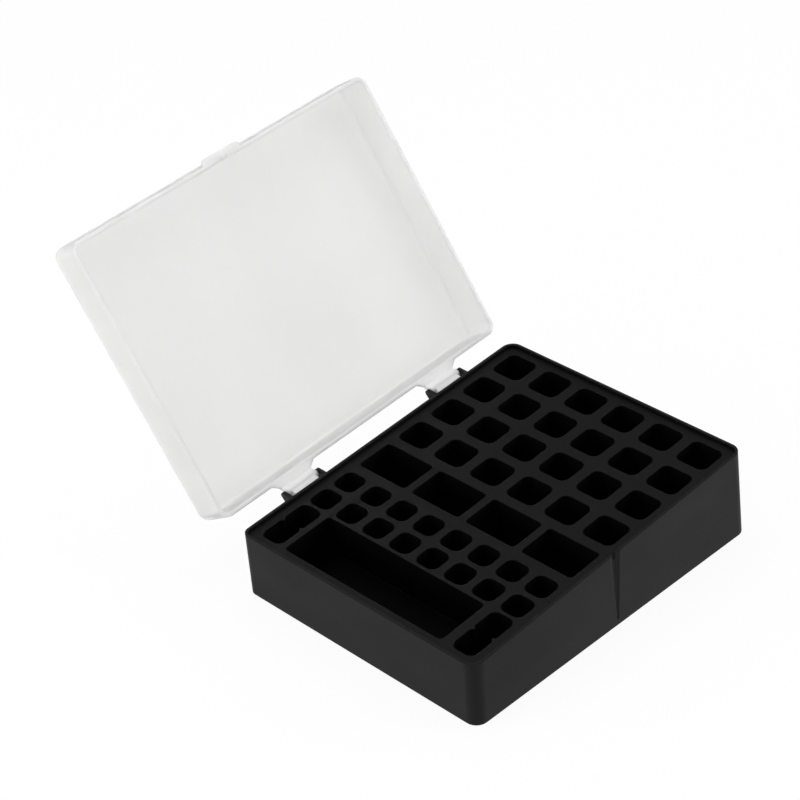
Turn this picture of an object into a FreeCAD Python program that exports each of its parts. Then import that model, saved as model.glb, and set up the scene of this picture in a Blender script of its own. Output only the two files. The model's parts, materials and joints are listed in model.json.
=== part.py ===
import FreeCAD, Part
import math
import os

import Sketcher

from FreeCAD import Placement, Rotation, Vector

# A desk organiser for loose household cells: a wedge-shaped case, an insert with a pocket for
# every cell and a long bay for a tester, and a hinged lid shown standing open.
#
# Case, insert and pins are drawn in the deck frame: x runs along the hinge towards the tall
# end, y towards the hinge, z square to the deck, from the middle of the underside. The deck
# frame leans against the table by the wedge angle. The lid is drawn closed, from the middle
# of its hinge line, and its placement swings it open.

SIZES = {
    # case
    "case_width": 170.0,
    "case_depth": 130.0,
    "rim_low": 32.0,
    "rim_high": 46.0,
    "case_corner": 3.2,
    "case_wall": 1.8,
    "case_floor": 2.0,
    "lip_wall": 1.2,
    "lip_height": 1.6,
    "foot_band": 7.0,
    "foot_relief": 0.6,
    "case_edge": 0.6,
    # thumb groove in the front wall
    "groove_width": 6.0,
    "groove_depth": 1.3,
    "groove_foot_width": 1.2,
    "groove_foot_depth": 0.4,
    "groove_foot_height": 3.5,
    # insert
    "deck_thickness": 1.8,
    "deck_clearance": 0.1,
    "sleeve_wall": 1.2,
    "sleeve_floor": 1.4,
    "sleeve_clearance": 0.4,
    "block_wall": 1.9,
    "block_clearance": 0.3,
    "aa_wide": 15.4,
    "aa_deep": 15.9,
    "aa_corner": 3.6,
    "aa_first_x": 72.0,
    "aa_first_y": 51.3,
    "aa_pitch_x": 20.5,
    "aa_pitch_y": 20.95,
    "nine_wide": 18.7,
    "nine_deep": 27.3,
    "nine_corner": 2.0,
    "nine_x": -11.6,
    "nine_first_y": 45.3,
    "nine_pitch_y": 31.0,
    "aaa_wide": 11.7,
    "aaa_deep": 11.8,
    "aaa_corner": 3.7,
    "aaa_first_x": -31.9,
    "aaa_pitch_x": 14.25,
    "aaa_pitch_y": 15.5,
    "bay_wide": 26.2,
    "bay_long": 89.0,
    "bay_corner": 2.0,
    "bay_x": -66.6,
    "bay_back_gap": 3.0,
    "bay_depth": 20.0,
    "tooth_width": 3.0,
    "tooth_height": 1.4,
    # hinge
    "hinge_setback": 4.8,
    "hinge_drop": 1.6,
    "hinge_from_middle": 45.0,
    "ear_spacing": 20.2,
    "ear_thickness": 1.6,
    "ear_radius": 1.4,
    "ear_root": 9.0,
    "ear_shoulder": 0.3,
    "pin_radius": 0.6,
    "pin_clearance": 0.05,
    "barrel_radius": 1.6,
    "barrel_play": 0.6,
    "lug_flare": 3.6,
    "lug_thickness": 2.2,
    "lug_taper_length": 2.6,
    "stop_width": 14.0,
    "stop_reach": 3.0,
    "stop_thickness": 1.7,
    "stop_clearance": 0.3,
    "stop_top": 0.3,
    "open_angle": 122.7,
    # lid
    "lid_height": 19.2,
    "lid_wall": 1.8,
    "lid_top": 1.8,
    "lid_corner": 4.9,
    "lid_edge": 2.9,
    "lid_inner_edge": 1.8,
    "lid_gap": 0.3,
    "lid_side_overhang": 0.5,
    "lid_front_overhang": 2.4,
    "lid_inset": 0.5,
    # finger tab on the front of the lid, and the rib that rides in the groove
    "tab_width": 21.6,
    "tab_reach": 2.6,
    "tab_corner": 2.6,
    "tab_thickness": 1.8,
    "rib_width": 2.0,
    "rib_length": 4.0,
    "rib_depth": 0.8,
    # how far a cutter passes the face it starts from, and how far one is held off a face
    "cutter_over": 0.5,
    "hair": 0.01,
}

AA_COLUMNS, AA_ROWS = 4, 6
NINE_ROWS = 4
AAA_COLUMNS, AAA_ROWS = 2, 8
SIDES = {"left": -1, "right": 1}
EACH_STEP_IS_THE_OFFSET = -1.0
# A 45 degree clip this share of a round corner's radius touches the round it stands for.
CLIP_OF_ROUND = "(2 - sqrt(2))"
# Where straight edges run into the round ends of the hinge, as shares of the round's radius.
EAR_BACK = (0.8, -0.6)
LUG_UNDER, LUG_OVER = (-0.9, -0.4), (0.4, 0.9)
STOP_UNDER, STOP_OVER = (0.1, -0.95), (0.1, 0.9)
NODES = ("outer_case", "cell_insert", "lid", "hinge_pin_left", "hinge_pin_right")

# Sizes that follow from the driving ones, as expressions on the sheet.
SLOPE = "((Sizes.rim_high - Sizes.rim_low) / Sizes.case_width)"
TILT = f"atan({SLOPE})"
RIM = "((Sizes.rim_low + Sizes.rim_high) / 2)"
DECK = f"({RIM} - Sizes.lip_height)"
FALL = "((Sizes.rim_high - Sizes.rim_low) / 2)"
HINGE_Y = "(Sizes.case_depth / 2 + Sizes.hinge_setback)"
HINGE_Z = f"({RIM} - Sizes.hinge_drop)"
BARREL = "(Sizes.ear_spacing - Sizes.ear_thickness - 2 * Sizes.barrel_play)"
LUG_ROOT = f"({BARREL} + 2 * Sizes.lug_flare)"
AAA_BLOCK_Y = "(Sizes.case_wall + Sizes.block_clearance - Sizes.case_depth / 2)"
AAA_LAST_Y = f"({AAA_BLOCK_Y} + Sizes.block_wall + Sizes.aaa_deep / 2)"
AAA_FIRST_Y = f"({AAA_LAST_Y} + {AAA_ROWS - 1} * Sizes.aaa_pitch_y)"
BAY_Y = f"({AAA_FIRST_Y} - (Sizes.aaa_deep + Sizes.bay_long) / 2 - Sizes.bay_back_gap)"
LID_WIDTH = "(Sizes.case_width + 2 * Sizes.lid_side_overhang)"
LID_RIM = "(Sizes.hinge_drop + Sizes.lid_gap)"
LID_BACK_Y = "(-Sizes.hinge_setback - Sizes.lid_inset)"
CASE_FRONT_Y = "(-Sizes.hinge_setback - Sizes.case_depth)"
LID_FRONT_Y = f"({CASE_FRONT_Y} - Sizes.lid_front_overhang)"
LID_DEPTH = f"({LID_BACK_Y} - {LID_FRONT_Y})"
LID_MIDDLE_Y = f"(({LID_BACK_Y} + {LID_FRONT_Y}) / 2)"

doc = FreeCAD.newDocument("BatteryCase")
sheet = doc.addObject("Spreadsheet::Sheet", "Sizes")
for row, (alias, number) in enumerate(SIZES.items(), start=1):
    sheet.set(f"A{row}", alias)
    sheet.set(f"B{row}", str(number))
    sheet.setAlias(f"B{row}", alias)
doc.recompute()


# ---------------------------------------------------------------- helpers


def value(expression):
    """The number that an expression on the sheet comes to."""
    found = sheet.evalExpression(str(expression))
    return float(getattr(found, "Value", found))


def new_body(label):
    body = doc.addObject("PartDesign::Body", label)
    body.Label = label
    return body


def datum(body, role):
    return next(f for f in body.Origin.OriginFeatures if f.Role == role)


def new_sketch(body, name, plane, x="0", y="0", z="0", turn=None):
    """A sketch on one of the body's own planes, moved by x, y, z in the plane's axes."""
    sketch = body.newObject("Sketcher::SketchObject", name)
    sketch.AttachmentSupport = [(datum(body, plane), "")]
    sketch.MapMode = "FlatFace"
    for axis, shift in (("x", x), ("y", y), ("z", z)):
        sketch.setExpression(f"AttachmentOffset.Base.{axis}", shift)
    if turn:
        axis, angle = turn
        sketch.AttachmentOffset = Placement(Vector(), Rotation(axis, value(angle)))
        sketch.setExpression("AttachmentOffset.Rotation.Angle", angle)
    return sketch


def bind(sketch, constraint, expression):
    index = sketch.addConstraint(constraint)
    sketch.setExpression(f"Constraints[{index}]", expression)


def polygon(sketch, corners):
    """A closed outline whose corners are pairs of expressions, measured from the sketch origin."""
    points = [Vector(value(x), value(y), 0) for x, y in corners]
    lines = [
        sketch.addGeometry(Part.LineSegment(points[i], points[(i + 1) % len(points)]))
        for i in range(len(points))
    ]
    for i, line in enumerate(lines):
        sketch.addConstraint(
            Sketcher.Constraint("Coincident", line, 2, lines[(i + 1) % len(lines)], 1)
        )
    for line, point, (x, y) in zip(lines, points, corners):
        bind(sketch, Sketcher.Constraint("DistanceX", -1, 1, line, 1, point.x), x)
        bind(sketch, Sketcher.Constraint("DistanceY", -1, 1, line, 1, point.y), y)


def circle(sketch, radius, x="0", y="0"):
    middle = Vector(value(x), value(y), 0)
    index = sketch.addGeometry(Part.Circle(middle, Vector(0, 0, 1), value(radius)))
    bind(sketch, Sketcher.Constraint("Radius", index, value(radius)), radius)
    bind(sketch, Sketcher.Constraint("DistanceX", -1, 1, index, 3, middle.x), x)
    bind(sketch, Sketcher.Constraint("DistanceY", -1, 1, index, 3, middle.y), y)


def rounded_rectangle(sketch, wide, deep, corner):
    """A rectangle with round corners about the sketch origin."""
    half_x, half_y, r = value(wide) / 2, value(deep) / 2, value(corner)
    up = Vector(0, 0, 1)
    ends = [
        ((-half_x + r, -half_y), (half_x - r, -half_y)),
        ((half_x, -half_y + r), (half_x, half_y - r)),
        ((half_x - r, half_y), (-half_x + r, half_y)),
        ((-half_x, half_y - r), (-half_x, -half_y + r)),
    ]
    lines = [
        sketch.addGeometry(Part.LineSegment(Vector(*a, 0), Vector(*b, 0))) for a, b in ends
    ]
    centres = [
        (half_x - r, -half_y + r),
        (half_x - r, half_y - r),
        (-half_x + r, half_y - r),
        (-half_x + r, -half_y + r),
    ]
    arcs = []
    for quarter, centre in enumerate(centres):
        start = (quarter - 1) * math.pi / 2
        round_corner = Part.Circle(Vector(*centre, 0), up, r)
        arcs.append(
            sketch.addGeometry(Part.ArcOfCircle(round_corner, start, start + math.pi / 2))
        )
    for i in range(4):
        sketch.addConstraint(Sketcher.Constraint("Tangent", lines[i], 2, arcs[i], 1))
        sketch.addConstraint(Sketcher.Constraint("Tangent", arcs[i], 2, lines[(i + 1) % 4], 1))
    for i, flat in enumerate(("Horizontal", "Vertical", "Horizontal", "Vertical")):
        sketch.addConstraint(Sketcher.Constraint(flat, lines[i]))
    for arc in arcs[1:]:
        sketch.addConstraint(Sketcher.Constraint("Equal", arcs[0], arc))
    sketch.addConstraint(Sketcher.Constraint("Symmetric", lines[0], 1, lines[2], 1, -1, 1))
    bind(sketch, Sketcher.Constraint("Radius", arcs[0], r), corner)
    bind(
        sketch,
        Sketcher.Constraint("DistanceX", lines[3], 1, lines[1], 1, 2 * half_x),
        wide,
    )
    bind(
        sketch,
        Sketcher.Constraint("DistanceY", lines[0], 1, lines[2], 1, 2 * half_y),
        deep,
    )


def on_round(radius, shares, x="0", y="0"):
    """A point at shares of a radius from the middle of a round end."""
    return (f"{x} + {radius} * ({shares[0]})", f"{y} + {radius} * ({shares[1]})")


def clipped_rectangle(sketch, wide, deep, clip):
    """A rectangle with its corners cut off at 45 degrees, about the sketch origin."""
    x, y = f"({wide}) / 2", f"({deep}) / 2"
    polygon(
        sketch,
        [
            (f"{x} - ({clip})", f"-{y}"),
            (x, f"-{y} + ({clip})"),
            (x, f"{y} - ({clip})"),
            (f"{x} - ({clip})", y),
            (f"-{x} + ({clip})", y),
            (f"-{x}", f"{y} - ({clip})"),
            (f"-{x}", f"-{y} + ({clip})"),
            (f"-{x} + ({clip})", f"-{y}"),
        ],
    )


def extrude(body, kind, name, sketch, length=None, both_ways=False, back=False):
    """A Pad or a Pocket of a sketch; without a length it goes right through."""
    feature = body.newObject(f"PartDesign::{kind}", name)
    feature.Profile = sketch
    if length is None:
        feature.Type = "ThroughAll"
    else:
        feature.Type = "Length"
        feature.setExpression("Length", length)
    feature.Midplane = both_ways
    feature.Reversed = back
    doc.recompute()
    body.Tip = feature
    return feature


def pad(body, name, sketch, length, **options):
    return extrude(body, "Pad", name, sketch, length, **options)


def pocket(body, name, sketch, length=None, **options):
    """A Pocket that is checked to have taken material away."""
    before = body.Tip.Shape.Volume
    feature = extrude(body, "Pocket", name, sketch, length, **options)
    if feature.Shape.Volume >= before:
        raise RuntimeError(f"{name} cuts nothing")
    return feature


def grid_of(body, name, feature, columns, pitch_x, rows, pitch_y):
    """Copies of a feature from its first place towards the low end and the front."""
    pattern = body.newObject("PartDesign::LinearPattern", name)
    pattern.Originals = [feature]
    pattern.Direction = (datum(body, "Y_Axis"), [""])
    pattern.Mode = "Spacing"
    pattern.setExpression("Offset", pitch_y)
    pattern.Occurrences = rows
    pattern.Reversed = True
    if columns > 1:
        pattern.Direction2 = (datum(body, "X_Axis"), [""])
        pattern.Mode2 = "Spacing"
        pattern.setExpression("Offset2", pitch_x)
        pattern.Occurrences2 = columns
        pattern.Spacings2 = [EACH_STEP_IS_THE_OFFSET] * (columns - 1)
        pattern.Reversed2 = True
    doc.recompute()
    body.Tip = pattern
    return pattern


def dress(body, kind, name, size, chosen):
    """A Fillet or a Chamfer on the edges that chosen(edge) picks from the body so far."""
    base = body.Tip
    names = [f"Edge{i}" for i, edge in enumerate(base.Shape.Edges, start=1) if chosen(edge)]
    if not names:
        raise RuntimeError(f"{name} finds no edge")
    feature = body.newObject(f"PartDesign::{kind}", name)
    feature.Base = (base, names)
    feature.setExpression("Radius" if kind == "Fillet" else "Size", size)
    doc.recompute()
    body.Tip = feature
    return feature


def is_parallel(edge, direction):
    if not isinstance(edge.Curve, (Part.Line, Part.LineSegment)):
        return False
    return edge.tangentAt(edge.FirstParameter).cross(direction).Length < 1e-6


def lies_at_height(edge, height):
    return all(abs(vertex.Z - height) < 1e-4 for vertex in edge.Vertexes)


# ---------------------------------------------------------------- outer case


def make_outer_case():
    """The wedge-shaped tub: flat floor on the table, walls square to the deck."""
    body = new_body("outer_case")

    side_view = new_sketch(body, "CaseSideView", "XZ_Plane")
    half = "Sizes.case_width / 2"
    polygon(side_view, [(f"-{half}", RIM), (half, RIM), (half, f"-{FALL}"), (f"-{half}", FALL)])
    pad(body, "CaseBlock", side_view, "Sizes.case_depth", both_ways=True)
    up = Vector(0, 0, 1)
    dress(body, "Fillet", "CaseCorners", "Sizes.case_corner", lambda e: is_parallel(e, up))
    floor_of = bottom_height
    dress(body, "Fillet", "CaseFootEdge", "Sizes.case_edge", lambda e: on_underside(e, floor_of))

    cavity_view = new_sketch(body, "CavitySideView", "XZ_Plane")
    inner = "(Sizes.case_width / 2 - Sizes.case_wall)"
    lift = f"Sizes.case_floor / cos({TILT})"
    polygon(
        cavity_view,
        [
            (f"-{inner}", RIM),
            (inner, RIM),
            (inner, f"{lift} - {inner} * {SLOPE}"),
            (f"-{inner}", f"{lift} + {inner} * {SLOPE}"),
        ],
    )
    pocket(body, "Cavity", cavity_view, "Sizes.case_depth - 2 * Sizes.case_wall", both_ways=True)
    dress(
        body,
        "Fillet",
        "CavityCorners",
        "Sizes.case_corner - Sizes.case_wall",
        lambda e: is_parallel(e, up) and abs(e.Vertexes[0].Y) < value("Sizes.case_depth") / 2 - 1,
    )

    rebate = new_sketch(body, "DeckRebateOutline", "XY_Plane", z=RIM)
    rounded_rectangle(
        rebate,
        "Sizes.case_width - 2 * Sizes.lip_wall",
        "Sizes.case_depth - 2 * Sizes.lip_wall",
        "Sizes.case_corner - Sizes.lip_wall",
    )
    pocket(body, "DeckRebate", rebate, "Sizes.lip_height + Sizes.deck_thickness")

    add_underside_panels(body)
    add_thumb_groove(body)
    add_hinge_ears(body)
    return body


def bottom_height(x):
    """Height of the underside below a point, along the wall direction."""
    return -x * value(SLOPE)


def on_underside(edge, floor_of):
    return all(abs(vertex.Z - floor_of(vertex.X)) < 1e-4 for vertex in edge.Vertexes)


def add_underside_panels(body):
    """Two shallow panels that leave a band round the underside and one across its middle."""
    wide = f"((Sizes.case_width / cos({TILT}) - 3 * Sizes.foot_band) / 2)"
    middle = f"(({wide} + Sizes.foot_band) / 2)"
    for side, sign in SIDES.items():
        outline = new_sketch(
            body,
            f"{side.title()}PanelOutline",
            "XY_Plane",
            x=f"{sign} * {middle} * cos({TILT})",
            z=f"{-sign} * {middle} * sin({TILT})",
            turn=(Vector(0, 1, 0), TILT),
        )
        rounded_rectangle(outline, wide, "Sizes.case_depth - 2 * Sizes.foot_band", "Sizes.case_corner")
        pocket(body, f"{side.title()}Panel", outline, "Sizes.foot_relief", back=True)


def add_thumb_groove(body):
    """A V groove in the middle of the front wall, wide at the rim and fading near the foot."""
    face = "-Sizes.case_depth / 2"
    sections = {
        "GrooveTop": ("Sizes.groove_width / 2", "Sizes.groove_depth", f"{RIM} + Sizes.hair"),
        "GrooveFoot": (
            "Sizes.groove_foot_width / 2",
            "Sizes.groove_foot_depth",
            "Sizes.groove_foot_height",
        ),
    }
    sketches = []
    for name, (half, depth, height) in sections.items():
        sketch = new_sketch(body, name, "XY_Plane", z=height)
        polygon(
            sketch,
            [
                (f"-({half})", f"{face} - Sizes.cutter_over"),
                (half, f"{face} - Sizes.cutter_over"),
                (half, face),
                ("Sizes.groove_foot_width / 4", f"{face} + {depth}"),
                ("-Sizes.groove_foot_width / 4", f"{face} + {depth}"),
                (f"-({half})", face),
            ],
        )
        sketches.append(sketch)
    before = body.Tip.Shape.Volume
    groove = body.newObject("PartDesign::SubtractiveLoft", "ThumbGroove")
    groove.Profile = sketches[0]
    groove.Sections = [(sketches[1], [""])]
    groove.Ruled = True
    doc.recompute()
    body.Tip = groove
    if groove.Shape.Volume >= before:
        raise RuntimeError("the thumb groove cuts nothing")


def add_hinge_ears(body):
    """Two pairs of thin ears on the back wall, each pair carrying one hinge pin."""
    root_y = "Sizes.case_depth / 2 - Sizes.case_wall / 2"
    ears = []
    for name, side in (("Inner", "-"), ("Outer", "+")):
        place = f"Sizes.hinge_from_middle {side} Sizes.ear_spacing / 2"
        web = new_sketch(body, f"{name}EarWebOutline", "YZ_Plane", z=place)
        polygon(
            web,
            [
                (root_y, f"{RIM} - Sizes.ear_shoulder"),
                (HINGE_Y, f"{HINGE_Z} + Sizes.ear_radius"),
                on_round("Sizes.ear_radius", EAR_BACK, HINGE_Y, HINGE_Z),
                (root_y, f"{HINGE_Z} - Sizes.ear_root"),
            ],
        )
        ears.append(pad(body, f"{name}EarWeb", web, "Sizes.ear_thickness", both_ways=True))
        eye = new_sketch(body, f"{name}EarEyeOutline", "YZ_Plane", z=place)
        circle(eye, "Sizes.ear_radius", HINGE_Y, HINGE_Z)
        ears.append(pad(body, f"{name}EarEye", eye, "Sizes.ear_thickness", both_ways=True))
    mirror = body.newObject("PartDesign::Mirrored", "LeftEars")
    mirror.Originals = ears
    mirror.MirrorPlane = (datum(body, "YZ_Plane"), [""])
    doc.recompute()
    body.Tip = mirror

    bore = new_sketch(body, "PinBoreOutline", "YZ_Plane")
    circle(bore, "Sizes.pin_radius", HINGE_Y, HINGE_Z)
    pocket(body, "PinBore", bore, both_ways=True)


# ---------------------------------------------------------------- cell insert


def sleeve_length(low_x):
    """From the deck down to just clear of the case floor, under a sleeve's low side."""
    lift = f"(Sizes.case_floor / cos({TILT}) + Sizes.sleeve_clearance)"
    return f"({DECK} + ({low_x}) * {SLOPE} - {lift})"


def cell_groups():
    """Every kind of pocket: its first place, size, wall, copies and how deep its sleeve goes."""
    last_aa = f"(Sizes.aa_first_x - {AA_COLUMNS - 1} * Sizes.aa_pitch_x)"
    last_aaa = f"(Sizes.aaa_first_x - {AAA_COLUMNS - 1} * Sizes.aaa_pitch_x)"
    return [
        {
            "name": "Aa",
            "block": False,
            "x": "Sizes.aa_first_x",
            "y": "Sizes.aa_first_y",
            "wide": "Sizes.aa_wide",
            "deep": "Sizes.aa_deep",
            "corner": "Sizes.aa_corner",
            "wall": "Sizes.sleeve_wall",
            "grid": (AA_COLUMNS, "Sizes.aa_pitch_x", AA_ROWS, "Sizes.aa_pitch_y"),
            "low_x": f"{last_aa} - Sizes.aa_wide / 2 - Sizes.sleeve_wall",
        },
        {
            "name": "Nine",
            "block": False,
            "x": "Sizes.nine_x",
            "y": "Sizes.nine_first_y",
            "wide": "Sizes.nine_wide",
            "deep": "Sizes.nine_deep",
            "corner": "Sizes.nine_corner",
            "wall": "Sizes.sleeve_wall",
            "grid": (1, None, NINE_ROWS, "Sizes.nine_pitch_y"),
            "low_x": "Sizes.nine_x - Sizes.nine_wide / 2 - Sizes.sleeve_wall",
        },
        {
            "name": "Aaa",
            "block": True,
            "x": "Sizes.aaa_first_x",
            "y": AAA_FIRST_Y,
            "wide": "Sizes.aaa_wide",
            "deep": "Sizes.aaa_deep",
            "corner": "Sizes.aaa_corner",
            "wall": "Sizes.block_wall",
            "grid": (AAA_COLUMNS, "Sizes.aaa_pitch_x", AAA_ROWS, "Sizes.aaa_pitch_y"),
            "low_x": f"{last_aaa} - Sizes.aaa_wide / 2 - Sizes.block_wall",
        },
        {
            "name": "Twin",
            "block": False,
            "x": "Sizes.bay_x",
            "y": AAA_FIRST_Y,
            "wide": "Sizes.bay_wide",
            "deep": "Sizes.aaa_deep",
            "corner": "Sizes.aaa_corner",
            "wall": "Sizes.sleeve_wall",
            "grid": (1, None, 2, f"{AAA_ROWS - 1} * Sizes.aaa_pitch_y"),
            "low_x": "Sizes.bay_x - Sizes.bay_wide / 2 - Sizes.sleeve_wall",
        },
    ]


def make_cell_insert():
    """One moulding: the deck, and a closed sleeve under it for every pocket."""
    body = new_body("cell_insert")
    outline = new_sketch(body, "DeckOutline", "XY_Plane", z=DECK)
    edge = "(Sizes.lip_wall + Sizes.deck_clearance)"
    rounded_rectangle(
        outline,
        f"Sizes.case_width - 2 * {edge}",
        f"Sizes.case_depth - 2 * {edge}",
        f"Sizes.case_corner - {edge}",
    )
    pad(body, "Deck", outline, "Sizes.deck_thickness", back=True)

    groups = cell_groups()
    bay = {
        "name": "Bay",
        "block": False,
        "x": "Sizes.bay_x",
        "y": BAY_Y,
        "wide": "Sizes.bay_wide",
        "deep": "Sizes.bay_long",
        "corner": "Sizes.bay_corner",
        "wall": "Sizes.sleeve_wall",
        "grid": None,
        "length": "(Sizes.bay_depth + Sizes.sleeve_floor)",
    }
    for group in groups:
        group["length"] = sleeve_length(group["low_x"])
    for group in groups + [bay]:
        add_sleeves(body, group)
    for group in groups + [bay]:
        add_pockets(body, group)
    add_twin_teeth(body, groups[-1])
    return body


def add_sleeves(body, group):
    """The blind sleeves of one kind of pocket, hanging from the deck, or one block for them all."""
    name, wall = group["name"], group["wall"]
    x, y, wide, deep = group["x"], group["y"], group["wide"], group["deep"]
    if group["block"]:
        columns, pitch_x, rows, pitch_y = group["grid"]
        x = f"{x} - {columns - 1} * {pitch_x} / 2"
        y = f"{y} - {rows - 1} * {pitch_y} / 2"
        wide = f"{wide} + {columns - 1} * {pitch_x}"
        deep = f"{deep} + {rows - 1} * {pitch_y}"
    outline = new_sketch(body, f"{name}SleeveOutline", "XY_Plane", x, y, DECK)
    round_over = f"({group['corner']} + {wall})"
    clipped_rectangle(
        outline, f"{wide} + 2 * {wall}", f"{deep} + 2 * {wall}", f"{round_over} * {CLIP_OF_ROUND}"
    )
    sleeve = pad(body, f"{name}Sleeve", outline, group["length"], back=True)
    if group["grid"] and not group["block"]:
        grid_of(body, f"{name}Sleeves", sleeve, *group["grid"])


def add_pockets(body, group):
    """The pockets of one kind, down to the sleeve's floor."""
    name = group["name"]
    outline = new_sketch(body, f"{name}PocketOutline", "XY_Plane", group["x"], group["y"], DECK)
    rounded_rectangle(outline, group["wide"], group["deep"], group["corner"])
    cut = pocket(body, f"{name}Pocket", outline, f"{group['length']} - Sizes.sleeve_floor")
    if group["grid"]:
        grid_of(body, f"{name}Pockets", cut, *group["grid"])


def add_twin_teeth(body, twin):
    """A pair of pointed teeth at the waist of each two-cell slot keeps its cells apart."""
    teeth = new_sketch(body, "TwinTeethOutline", "XY_Plane", twin["x"], twin["y"], DECK)
    half, root = "Sizes.tooth_width / 2", "Sizes.aaa_deep / 2"
    sunk = f"({root} + Sizes.sleeve_wall / 2)"
    tip = f"({root} - Sizes.tooth_height)"
    far = twin["grid"][3]
    for slot in ("0", f"-({far})"):
        for side in ("", "-"):
            polygon(
                teeth,
                [
                    (f"-{half}", f"{slot} + {side}{root}"),
                    ("0", f"{slot} + {side}{tip}"),
                    (half, f"{slot} + {side}{root}"),
                    (half, f"{slot} + {side}{sunk}"),
                    (f"-{half}", f"{slot} + {side}{sunk}"),
                ],
            )
    pad(body, "TwinTeeth", teeth, f"{twin['length']} - Sizes.sleeve_floor / 2", back=True)


# ---------------------------------------------------------------- lid


def make_lid():
    """The frosted cover, drawn closed, with two tapered hinge lugs and a finger tab."""
    body = new_body("lid")
    outline = new_sketch(body, "LidOutline", "XY_Plane", y=LID_MIDDLE_Y, z=LID_RIM)
    rounded_rectangle(outline, LID_WIDTH, LID_DEPTH, "Sizes.lid_corner")
    pad(body, "LidBlock", outline, "Sizes.lid_height")
    top = value(f"{LID_RIM} + Sizes.lid_height")
    dress(body, "Fillet", "LidEdge", "Sizes.lid_edge", lambda e: lies_at_height(e, top))

    hollow = new_sketch(body, "LidHollowOutline", "XY_Plane", y=LID_MIDDLE_Y, z=LID_RIM)
    rounded_rectangle(
        hollow,
        f"{LID_WIDTH} - 2 * Sizes.lid_wall",
        f"{LID_DEPTH} - 2 * Sizes.lid_wall",
        "Sizes.lid_corner - Sizes.lid_wall",
    )
    pocket(body, "LidHollow", hollow, "Sizes.lid_height - Sizes.lid_top", back=True)
    ceiling = value(f"{LID_RIM} + Sizes.lid_height - Sizes.lid_top")
    dress(body, "Fillet", "LidInnerEdge", "Sizes.lid_inner_edge", lambda e: lies_at_height(e, ceiling))

    add_finger_tab(body)
    add_hinge_lugs(body)
    return body


def add_finger_tab(body):
    """A finger tab level with the lid's rim, and under it a rib that rides in the thumb groove."""
    front = LID_FRONT_Y
    half = "Sizes.tab_width / 2"
    tab = new_sketch(body, "TabOutline", "XY_Plane", z=LID_RIM)
    polygon(
        tab,
        [
            (f"-{half}", f"{front} + Sizes.lid_wall / 2"),
            (f"-{half}", f"{front} - Sizes.tab_reach"),
            (half, f"{front} - Sizes.tab_reach"),
            (half, f"{front} + Sizes.lid_wall / 2"),
        ],
    )
    pad(body, "Tab", tab, "Sizes.tab_thickness")
    up = Vector(0, 0, 1)
    tip = value(f"{front} - Sizes.tab_reach")
    dress(
        body,
        "Fillet",
        "TabCorners",
        "Sizes.tab_corner - Sizes.hair",
        lambda e: is_parallel(e, up) and abs(e.CenterOfMass.y - tip) < 1e-4,
    )
    rib = new_sketch(body, "RibOutline", "XY_Plane", z=f"{LID_RIM} - Sizes.rib_length")
    half = "Sizes.rib_width / 2"
    polygon(
        rib,
        [
            (f"-{half}", front),
            (half, front),
            (f"{half} / 2", f"{CASE_FRONT_Y} + Sizes.rib_depth"),
            (f"-{half} / 2", f"{CASE_FRONT_Y} + Sizes.rib_depth"),
        ],
    )
    pad(body, "Rib", rib, "Sizes.rib_length + Sizes.tab_thickness")


def add_hinge_lugs(body):
    """Tapered lugs from the back of the lid to a barrel between each pair of ears."""
    back = LID_BACK_Y
    lug_parts = []
    place = "Sizes.hinge_from_middle"

    plate = new_sketch(body, "LugSideView", "YZ_Plane", z=place)
    r = "Sizes.barrel_radius"
    polygon(
        plate,
        [
            (f"{back} - Sizes.lid_wall / 2", LID_RIM),
            (f"{back} + Sizes.lug_taper_length", LID_RIM),
            on_round(r, LUG_UNDER),
            on_round(r, LUG_OVER),
            (f"{back} + Sizes.lug_taper_length", f"{LID_RIM} + Sizes.lug_thickness"),
            (f"{back} - Sizes.lid_wall / 2", f"{LID_RIM} + Sizes.lug_thickness"),
        ],
    )
    lug_parts.append(pad(body, "LugPlate", plate, LUG_ROOT, both_ways=True))

    taper = new_sketch(body, "LugTaperOutline", "XY_Plane", x=place)
    root = f"{LUG_ROOT} / 2"
    tip = f"{BARREL} / 2"
    side = f"{root} + Sizes.cutter_over"
    reach = f"{r} + Sizes.cutter_over"
    for sign in ("", "-"):
        polygon(
            taper,
            [
                (f"{sign}({root})", f"{back} + Sizes.hair"),
                (f"{sign}({side})", f"{back} + Sizes.hair"),
                (f"{sign}({side})", reach),
                (f"{sign}({tip})", reach),
                (f"{sign}({tip})", f"{back} + Sizes.lug_taper_length"),
            ],
        )
    lug_parts.append(pocket(body, "LugTaper", taper, both_ways=True))

    barrel = new_sketch(body, "BarrelOutline", "YZ_Plane", z=place)
    circle(barrel, r)
    lug_parts.append(pad(body, "Barrel", barrel, BARREL, both_ways=True))

    # the stop lies flat against the back wall when the lid is open
    stop = new_sketch(
        body, "StopSideView", "YZ_Plane", z=place, turn=(Vector(0, 0, 1), "Sizes.open_angle")
    )
    wall = "(-Sizes.hinge_setback + Sizes.stop_clearance)"
    polygon(
        stop,
        [
            (wall, "Sizes.stop_top"),
            (wall, "-Sizes.stop_reach"),
            (f"{wall} + Sizes.stop_thickness", "-Sizes.stop_reach"),
            on_round(r, STOP_UNDER),
            on_round(r, STOP_OVER),
        ],
    )
    lug_parts.append(pad(body, "Stop", stop, "Sizes.stop_width", both_ways=True))

    mirror = body.newObject("PartDesign::Mirrored", "LeftLug")
    mirror.Originals = lug_parts
    mirror.MirrorPlane = (datum(body, "YZ_Plane"), [""])
    doc.recompute()
    body.Tip = mirror

    bore = new_sketch(body, "BarrelBoreOutline", "YZ_Plane")
    circle(bore, "Sizes.pin_radius + Sizes.pin_clearance")
    pocket(body, "BarrelBore", bore, both_ways=True)


# ---------------------------------------------------------------- hinge pins


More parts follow.
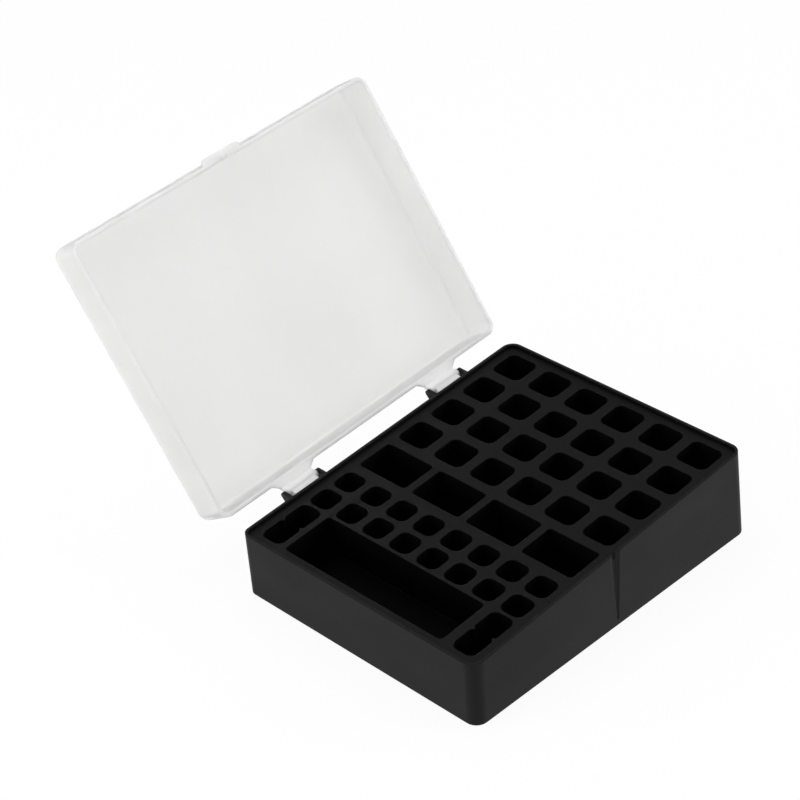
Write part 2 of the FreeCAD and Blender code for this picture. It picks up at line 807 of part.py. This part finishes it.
def make_hinge_pin(side):
    """A plain wire pin, flush with the outer faces of its two ears."""
    pin = doc.addObject("Part::Cylinder", f"hinge_pin_{side}")
    pin.Label = f"hinge_pin_{side}"
    pin.setExpression("Radius", "Sizes.pin_radius")
    pin.setExpression("Height", "Sizes.ear_spacing + Sizes.ear_thickness")
    return pin


# ---------------------------------------------------------------- placing and writing


def check(parts):
    doc.recompute()
    failed = [o.Name for o in doc.Objects if {"Invalid", "Error"} & set(o.State)]
    if failed:
        raise RuntimeError(f"failed objects: {', '.join(failed)}")
    for name, part in parts.items():
        shape = part.Shape
        if shape.isNull() or not shape.isValid() or len(shape.Solids) != 1:
            raise RuntimeError(f"{name} is not one valid solid")


parts = {"outer_case": make_outer_case(), "cell_insert": make_cell_insert(), "lid": make_lid()}
for side in SIDES:
    parts[f"hinge_pin_{side}"] = make_hinge_pin(side)

lean = Placement(Vector(), Rotation(Vector(0, 1, 0), -value(TILT)))
hinge_line = Placement(Vector(0, value(HINGE_Y), value(HINGE_Z)), Rotation())
swing = Placement(Vector(), Rotation(Vector(1, 0, 0), -value("Sizes.open_angle")))
parts["outer_case"].Placement = lean
parts["cell_insert"].Placement = lean
parts["lid"].Placement = lean * hinge_line * swing
for side, sign in SIDES.items():
    pin = parts[f"hinge_pin_{side}"]
    half_length = value("Sizes.ear_spacing + Sizes.ear_thickness") / 2
    start = sign * value("Sizes.hinge_from_middle") - half_length
    along = Placement(Vector(start, 0, 0), Rotation(Vector(0, 1, 0), 90))
    pin.Placement = lean * hinge_line * along

check(parts)
os.makedirs("parts", exist_ok=True)
for name in NODES:
    parts[name].Shape.exportStep(f"parts/{name}.step")
    box = parts[name].Shape.BoundBox
    print(f"{name}: {parts[name].Shape.Volume / 1000:.2f} cm3, "
          f"{box.XLength:.1f} x {box.YLength:.1f} x {box.ZLength:.1f} mm")
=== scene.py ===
import json
import math

import bpy
from mathutils import Matrix, Vector

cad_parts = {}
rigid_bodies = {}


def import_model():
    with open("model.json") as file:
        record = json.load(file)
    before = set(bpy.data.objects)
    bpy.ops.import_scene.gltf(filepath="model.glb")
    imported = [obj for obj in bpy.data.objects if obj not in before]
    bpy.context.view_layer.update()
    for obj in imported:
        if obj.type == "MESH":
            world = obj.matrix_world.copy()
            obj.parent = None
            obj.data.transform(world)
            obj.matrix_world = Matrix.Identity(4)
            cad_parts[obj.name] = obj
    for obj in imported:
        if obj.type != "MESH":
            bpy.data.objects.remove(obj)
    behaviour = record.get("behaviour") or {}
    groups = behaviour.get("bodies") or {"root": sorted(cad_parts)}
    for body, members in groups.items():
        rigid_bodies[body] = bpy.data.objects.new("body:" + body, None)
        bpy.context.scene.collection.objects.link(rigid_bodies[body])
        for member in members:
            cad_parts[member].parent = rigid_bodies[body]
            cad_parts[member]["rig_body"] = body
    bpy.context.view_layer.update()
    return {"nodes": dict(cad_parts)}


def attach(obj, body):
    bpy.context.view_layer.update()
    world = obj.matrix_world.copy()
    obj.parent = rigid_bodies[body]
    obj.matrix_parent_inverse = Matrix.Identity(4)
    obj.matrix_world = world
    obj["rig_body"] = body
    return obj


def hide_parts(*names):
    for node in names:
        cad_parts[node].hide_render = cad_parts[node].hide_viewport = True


# A battery organiser: a black wedge-shaped case with a pocketed insert and a frosted lid that
# stands open. Every length is in metres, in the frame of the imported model.

CAMERA_PLACE = (-0.58617, -0.53870, 0.61467)
CAMERA_TURN = (56.298, 2.062, -45.954)
CAMERA_LENS = 104.68
CAMERA_SENSOR = 36.0
MIDDLE = (0.0, 0.02, 0.05)

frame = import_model()

# The deck leans to the left, and its middle is 37.4 mm up. The lid stands open, and its rim's
# plane passes 1.9 mm behind the hinge's axis. Each plane is its normal and its offset along it.
LEAN = math.atan2(0.014, 0.170)
COS_LEAN, SIN_LEAN = math.cos(LEAN), math.sin(LEAN)
OPEN = math.radians(122.7)
PIVOT = Vector((-0.00307, 0.0698, 0.037274))
DECK_UP = 0.0374
RIM_BEHIND_PIVOT = 0.0019
deck_plane = ((-SIN_LEAN, 0.0, COS_LEAN), DECK_UP)
rim_normal = (math.cos(OPEN) * SIN_LEAN, -math.sin(OPEN), -math.cos(OPEN) * COS_LEAN)
rim_plane = (rim_normal, PIVOT.dot(Vector(rim_normal)) - RIM_BEHIND_PIVOT)


# ---------------------------------------------------------------- forms as the photo has them

# The photo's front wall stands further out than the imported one, the corners are rounder (the back
# left one least), and the end walls spread towards the base. The case and the insert are shown as
# copies with these forms, and so is the lid, whose rib has to follow the thumb groove.
FRONT_OUT = 0.0019
ROUNDER, BACK_LEFT_ROUNDER = 0.0025, 0.0008
LEFT_SPREAD, RIGHT_SPREAD = 0.0012, 0.0022

# What they start from, in the frame of the leaning deck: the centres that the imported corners
# share, how far past them an outer face lies at least, where the front wall begins, and the rim.
CORNER_X, CORNER_Y = 0.0818, 0.0618
OUTER_FACE = 0.0015
FRONT_WALL_FROM = -0.0630
RIM_UP = 0.0390
HAIR = 0.00001

# The shut lid: the inner face and the edge of its front wall, half the width that holds the rib
# under the tab, how far out the rib's edge can go in the hollow, and how far the wall's own edge
# gives way beside it to clear the groove.
CLOSING = (
    Matrix.Translation(PIVOT)
    @ Matrix.Rotation(OPEN, 4, Vector((COS_LEAN, 0.0, SIN_LEAN)))
    @ Matrix.Translation(-PIVOT)
)
LID_WALL_INNER, LID_EDGE_UP = -0.0656, 0.0393
RIB_REACH = 0.0020
RIB_OUT_IN_HOLLOW, LID_EDGE_OUT = 0.0013, 0.0003
NEAR = 0.0001


def on_deck(place):
    """How far a point lies along the deck and over its foot, square to it."""
    x, _, z = place
    return x * COS_LEAN + z * SIN_LEAN, z * COS_LEAN - x * SIN_LEAN


def reshaped(place, spread):
    """Where a point of the case or the insert goes. spread is 1 where the ends are to spread."""
    x, y, z = place
    along, up = on_deck(place)
    sunk = (RIM_UP - up) / (RIM_UP + along * SIN_LEAN / COS_LEAN)
    sunk = min(1.0, max(0.0, sunk))
    side, face = math.copysign(1.0, along), math.copysign(1.0, y)
    over_x, over_y = abs(along) - CORNER_X, abs(y) - CORNER_Y
    in_corner = over_x > -HAIR and over_y > -HAIR
    outer = over_x > OUTER_FACE
    moved_x = moved_y = 0.0
    if in_corner:
        far = math.hypot(over_x, over_y)
        outer = far > OUTER_FACE
        rounder = BACK_LEFT_ROUNDER if side < 0.0 < face else ROUNDER
        moved_x = side * rounder * (over_x / far - 1.0)
        moved_y = face * rounder * (over_y / far - 1.0)
    if y < FRONT_WALL_FROM or (in_corner and y < 0.0):
        moved_y -= FRONT_OUT
    x += moved_x * COS_LEAN
    z += moved_x * SIN_LEAN * (1.0 - sunk)
    if outer:
        x += spread * sunk * (RIGHT_SPREAD if side > 0 else -LEFT_SPREAD)
    return x, y + moved_y, z


def case_point(place):
    """Where a point of the case goes."""
    return reshaped(place, 1.0)


def insert_point(place):
    """Where a point of the insert goes."""
    return reshaped(place, 0.0)


def lid_point(place):
    """Where a point of the lid goes: the rib's inner edge moves out with the thumb groove."""
    shut = CLOSING @ place
    along, up = on_deck(shut)
    if abs(along) > RIB_REACH or not LID_WALL_INNER - NEAR < shut.y < 0.0:
        return place
    in_hollow = up > LID_EDGE_UP + NEAR
    if shut.y > LID_WALL_INNER + NEAR:
        shut.y -= RIB_OUT_IN_HOLLOW if in_hollow else FRONT_OUT
    elif not in_hollow:
        shut.y -= LID_EDGE_OUT
    return CLOSING.inverted() @ shut


def seen_copy(node, moved):
    """A copy of a node with its points moved, standing for that node."""
    source = frame["nodes"][node]
    mesh = source.data.copy()
    mesh.name = f"{node}_seen"
    for vertex in mesh.vertices:
        vertex.co = moved(vertex.co)
    piece = bpy.data.objects.new(f"{node}_seen", mesh)
    bpy.context.scene.collection.objects.link(piece)
    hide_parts(node)
    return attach(piece, source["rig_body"])


shown = dict(frame["nodes"])
shown["outer_case"] = seen_copy("outer_case", case_point)
shown["cell_insert"] = seen_copy("cell_insert", insert_point)
shown["lid"] = seen_copy("lid", lid_point)


# ---------------------------------------------------------------- materials


class Nodes:
    """A short way to add and join the nodes of one material."""

    def __init__(self, material):
        material.use_nodes = True
        self.tree = material.node_tree
        self.shader = self.tree.nodes["Principled BSDF"]
        self.place = self.add("ShaderNodeTexCoord").outputs["Object"]

    def add(self, kind, **settings):
        node = self.tree.nodes.new(kind)
        for name, setting in settings.items():
            setattr(node, name, setting)
        return node

    def join(self, source, target):
        self.tree.links.new(source, target)

    def noise(self, size, detail=3.0, roughness=0.5, stretch=(1, 1, 1)):
        """Noise between 0 and 1 whose blotches are about size metres across."""
        mapping = self.add("ShaderNodeMapping")
        mapping.inputs["Scale"].default_value = [s / size for s in stretch]
        self.join(self.place, mapping.inputs["Vector"])
        noise = self.add("ShaderNodeTexNoise")
        noise.inputs["Scale"].default_value = 1.0
        noise.inputs["Detail"].default_value = detail
        noise.inputs["Roughness"].default_value = roughness
        self.join(mapping.outputs["Vector"], noise.inputs["Vector"])
        return noise.outputs["Fac"]

    def remap(self, source, low, high, to_low, to_high):
        """A value between low and high, brought to between to_low and to_high."""
        node = self.add("ShaderNodeMapRange")
        for name, number in (
            ("From Min", low),
            ("From Max", high),
            ("To Min", to_low),
            ("To Max", to_high),
        ):
            node.inputs[name].default_value = number
        self.join(source, node.inputs["Value"])
        return node.outputs["Result"]

    def maths(self, operation, *values):
        node = self.add("ShaderNodeMath", operation=operation)
        for i, v in enumerate(values):
            if isinstance(v, (int, float)):
                node.inputs[i].default_value = v
            else:
                self.join(v, node.inputs[i])
        return node.outputs["Value"]

    def mix(self, factor, first, second):
        node = self.add("ShaderNodeMix", data_type="RGBA")
        for name, v in (("Factor", factor), ("A", first), ("B", second)):
            socket = next(s for s in node.inputs if s.name == name and s.enabled)
            if isinstance(v, (tuple, list)):
                socket.default_value = (*v, 1.0)
            else:
                self.join(v, socket)
        return next(s for s in node.outputs if s.enabled)

    def edges(self, radius):
        """1 along edges, 0 on flat faces, from how far a rounded normal leaves the true one."""
        bevel = self.add("ShaderNodeBevel", samples=6)
        bevel.inputs["Radius"].default_value = radius
        geometry = self.add("ShaderNodeNewGeometry")
        dot = self.add("ShaderNodeVectorMath", operation="DOT_PRODUCT")
        self.join(bevel.outputs["Normal"], dot.inputs[0])
        self.join(geometry.outputs["Normal"], dot.inputs[1])
        flat, sharp = 0.97, 0.75
        mask = self.remap(dot.outputs["Value"], flat, sharp, 0.0, 1.0)
        return mask, bevel.outputs["Normal"]

    def height_over(self, normal, offset):
        """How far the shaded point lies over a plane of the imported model."""
        dot = self.add("ShaderNodeVectorMath", operation="DOT_PRODUCT")
        dot.inputs[1].default_value = normal
        self.join(self.place, dot.inputs[0])
        return self.maths("SUBTRACT", dot.outputs["Value"], offset)

    def bump(self, height, distance, normal=None):
        """A normal roughened by a height between 0 and 1, distance metres deep at 1."""
        node = self.add("ShaderNodeBump")
        node.inputs["Strength"].default_value = 1.0
        node.inputs["Distance"].default_value = distance
        self.join(height, node.inputs["Height"])
        if normal is not None:
            self.join(normal, node.inputs["Normal"])
        return node.outputs["Normal"]


def moulded_black(name, colour, painted_edge_colour, grain, roughness, specular, pocket_shade=None):
    """Black moulded plastic: spark-eroded grain, faint flow clouding, and edges painted paler in
    noisy patches as a painted highlight.

    The last argument holds a plane, a reach and a share: the shine sinks to that share of itself at
    that reach below the plane, which paints shade into the pockets.
    """
    material = bpy.data.materials.new(name)
    n = Nodes(material)
    clouds = n.noise(0.045, detail=4.0, stretch=(1.0, 1.0, 2.2))
    grain_noise = n.noise(grain, detail=2.0)
    # Painted highlight: the edges are painted paler, in noisy patches, towards the edge colour.
    mask, rounded = n.edges(0.0006)
    painted_edge_highlight = n.maths("MULTIPLY", mask, n.remap(n.noise(0.006), 0.35, 0.7, 0.25, 1.0))
    tone = n.mix(clouds, [c * 0.8 for c in colour], [c * 1.2 for c in colour])
    n.join(n.mix(painted_edge_highlight, tone, painted_edge_colour), n.shader.inputs["Base Color"])
    patches = n.remap(clouds, 0.3, 0.7, roughness - 0.04, roughness + 0.04)
    speckle = n.maths("MULTIPLY_ADD", grain_noise, 0.08, -0.04)
    n.join(n.maths("ADD", patches, speckle), n.shader.inputs["Roughness"])
    if pocket_shade is None:
        n.shader.inputs["Specular IOR Level"].default_value = specular
    else:
        plane, reach, share = pocket_shade
        # Painted shade: the shine fades with depth below the deck, darkening the pocket insides.
        shine = n.remap(n.height_over(*plane), -reach, 0.0, share * specular, specular)
        n.join(shine, n.shader.inputs["Specular IOR Level"])
    n.join(n.bump(grain_noise, grain * 0.05, rounded), n.shader.inputs["Normal"])
    return material


def frosted_clear(name, colour, transmission, roughness, depth, rim):
    """Cloudy natural polypropylene: milky, with flow marks, handling haze and soft edges.

    Light that isn't passed on spreads through the wall to about depth. The index is kept low, as
    frosted sheet has no sharp inner reflections. Edges pass less light straight through, and so
    does the last millimetre before the rim, a plane given by its normal and offset.
    """
    material = bpy.data.materials.new(name)
    n = Nodes(material)
    flow = n.noise(0.05, detail=5.0, roughness=0.6, stretch=(1.0, 0.35, 0.35))
    haze = n.noise(0.012, detail=3.0)
    grain = n.noise(0.0007, detail=2.0)
    edge, rounded = n.edges(0.0009)
    dull = [c * 0.965 for c in colour]
    n.join(n.mix(n.remap(flow, 0.35, 0.7, 0.0, 1.0), colour, dull), n.shader.inputs["Base Color"])
    wavy = n.remap(haze, 0.3, 0.7, roughness - 0.05, roughness + 0.05)
    n.join(n.maths("ADD", wavy, n.maths("MULTIPLY_ADD", grain, 0.06, -0.03)),
           n.shader.inputs["Roughness"])
    band_from, band_to, band_share, edge_share = -0.0012, -0.0002, 0.65, 0.5
    near_rim = n.remap(n.height_over(*rim), band_from, band_to, 0.0, band_share)
    solid = n.maths("MAXIMUM", n.maths("MULTIPLY", edge, edge_share), near_rim)
    n.join(n.maths("MULTIPLY_ADD", solid, -transmission, transmission),
           n.shader.inputs["Transmission Weight"])
    n.shader.inputs["IOR"].default_value = 1.1
    n.shader.inputs["Specular IOR Level"].default_value = 0.4
    n.shader.inputs["Subsurface Weight"].default_value = 1.0
    n.shader.inputs["Subsurface Radius"].default_value = (1.0, 1.0, 1.0)
    n.shader.inputs["Subsurface Scale"].default_value = depth
    n.join(n.bump(grain, 0.00003, rounded), n.shader.inputs["Normal"])
    return material


def dull_steel(name, dark, pale):
    """Blackened wire, dull, with fine lines along its length."""
    material = bpy.data.materials.new(name)
    n = Nodes(material)
    lines = n.noise(0.0004, detail=2.0, stretch=(0.05, 1.0, 1.0))
    n.join(n.mix(lines, dark, pale), n.shader.inputs["Base Color"])
    n.shader.inputs["Metallic"].default_value = 1.0
    n.join(n.remap(lines, 0.3, 0.7, 0.45, 0.6), n.shader.inputs["Roughness"])
    n.join(n.bump(lines, 0.00001), n.shader.inputs["Normal"])
    return material


case_black = moulded_black(
    "case_black", (0.0042, 0.0042, 0.0044), (0.011, 0.011, 0.011), 0.0004, 0.5, 0.135
)
# The insert's colour is darker than the case's: partly its own black, partly painted shade to
# darken the pockets.
insert_black = moulded_black(
    "insert_black",
    (0.001, 0.001, 0.00105),
    (0.006, 0.006, 0.006),
    0.00035,
    0.55,
    0.13,
    # Painted shade in the pockets: the shine fades below the deck.
    pocket_shade=(deck_plane, 0.012, 0.25),
)
lid_frost = frosted_clear("lid_frost", (0.872, 0.87, 0.867), 0.65, 0.45, 0.004, rim_plane)
pin_steel = dull_steel("pin_steel", (0.02, 0.02, 0.021), (0.05, 0.05, 0.052))

for node, material in {
    "outer_case": case_black,
    "cell_insert": insert_black,
    "lid": lid_frost,
    "hinge_pin_left": pin_steel,
    "hinge_pin_right": pin_steel,
}.items():
    for slot in shown[node].material_slots:
        slot.link = "OBJECT"
        slot.material = material


# ---------------------------------------------------------------- floor, light and camera


def seen_white(name, paper, share):
    """A pale surface that shows as white to the camera, but keeps a share of its shading."""
    material = bpy.data.materials.new(name)
    material.use_nodes = True
    tree = material.node_tree
    shader = tree.nodes["Principled BSDF"]
    shader.inputs["Base Color"].default_value = (*paper, 1.0)
    shader.inputs["Roughness"].default_value = 1.0
    shader.inputs["Specular IOR Level"].default_value = 0.0
    glow = tree.nodes.new("ShaderNodeEmission")
    glow.inputs["Color"].default_value = (1.0, 1.0, 1.0, 1.0)
    glow.inputs["Strength"].default_value = 1.0
    path = tree.nodes.new("ShaderNodeLightPath")
    rays = path.outputs["Is Camera Ray"]
    for other in ("Is Glossy Ray", "Is Transmission Ray"):
        either = tree.nodes.new("ShaderNodeMath")
        either.operation = "MAXIMUM"
        tree.links.new(rays, either.inputs[0])
        tree.links.new(path.outputs[other], either.inputs[1])
        rays = either.outputs["Value"]
    part = tree.nodes.new("ShaderNodeMath")
    part.operation = "MULTIPLY"
    part.inputs[1].default_value = share
    tree.links.new(rays, part.inputs[0])
    blend = tree.nodes.new("ShaderNodeMixShader")
    tree.links.new(part.outputs["Value"], blend.inputs["Fac"])
    tree.links.new(shader.outputs["BSDF"], blend.inputs[1])
    tree.links.new(glow.outputs["Emission"], blend.inputs[2])
    tree.links.new(blend.outputs["Shader"], tree.nodes["Material Output"].inputs["Surface"])
    return material


def add_floor(half):
    """A square floor, twice half metres wide."""
    mesh = bpy.data.meshes.new("floor")
    corners = [(-half, -half, 0), (half, -half, 0), (half, half, 0), (-half, half, 0)]
    mesh.from_pydata(corners, [], [(0, 1, 2, 3)])
    floor = bpy.data.objects.new("floor", mesh)
    floor.data.materials.append(seen_white("floor_white", (0.95, 0.95, 0.95), 0.93))
    bpy.context.scene.collection.objects.link(floor)


def add_softbox(name, place, side, power):
    """A square lamp, side metres wide, that faces the object's middle."""
    light = bpy.data.lights.new(name, "AREA")
    light.shape = "RECTANGLE"
    light.size = light.size_y = side
    light.energy = power
    lamp = bpy.data.objects.new(name, light)
    lamp.location = place
    aim = Vector(MIDDLE) - Vector(place)
    lamp.rotation_euler = aim.to_track_quat("-Z", "Y").to_euler()
    bpy.context.scene.collection.objects.link(lamp)


def light_world(strength):
    """A pale room: plain white where it is seen, dimmer where it lights the object."""
    world = bpy.data.worlds.new("room")
    bpy.context.scene.world = world
    world.use_nodes = True
    tree = world.node_tree
    background = tree.nodes["Background"]
    background.inputs["Color"].default_value = (1.0, 1.0, 1.0, 1.0)
    path = tree.nodes.new("ShaderNodeLightPath")
    seen = tree.nodes.new("ShaderNodeMath")
    seen.operation = "MAXIMUM"
    tree.links.new(path.outputs["Is Camera Ray"], seen.inputs[0])
    tree.links.new(path.outputs["Is Transmission Ray"], seen.inputs[1])
    level = tree.nodes.new("ShaderNodeMapRange")
    level.inputs["To Min"].default_value = strength
    level.inputs["To Max"].default_value = 1.0
    tree.links.new(seen.outputs["Value"], level.inputs["Value"])
    tree.links.new(level.outputs["Result"], background.inputs["Strength"])


add_floor(6.0)
light_world(0.45)
add_softbox("softbox_left", (-0.95, 0.45, 0.65), 0.9, 6.2)
add_softbox("softbox_right", (0.95, -0.85, 0.65), 0.9, 7.4)
add_softbox("softbox_top", (0.1, 0.3, 1.4), 1.2, 7.0)

lens = bpy.data.cameras.new("camera")
lens.sensor_width = CAMERA_SENSOR
lens.lens = CAMERA_LENS
lens.clip_start, lens.clip_end = 0.01, 50.0
camera = bpy.data.objects.new("camera", lens)
camera.location = CAMERA_PLACE
camera.rotation_euler = [math.radians(a) for a in CAMERA_TURN]
bpy.context.scene.collection.objects.link(camera)
bpy.context.scene.camera = camera
bpy.context.scene.view_settings.view_transform = "Standard"
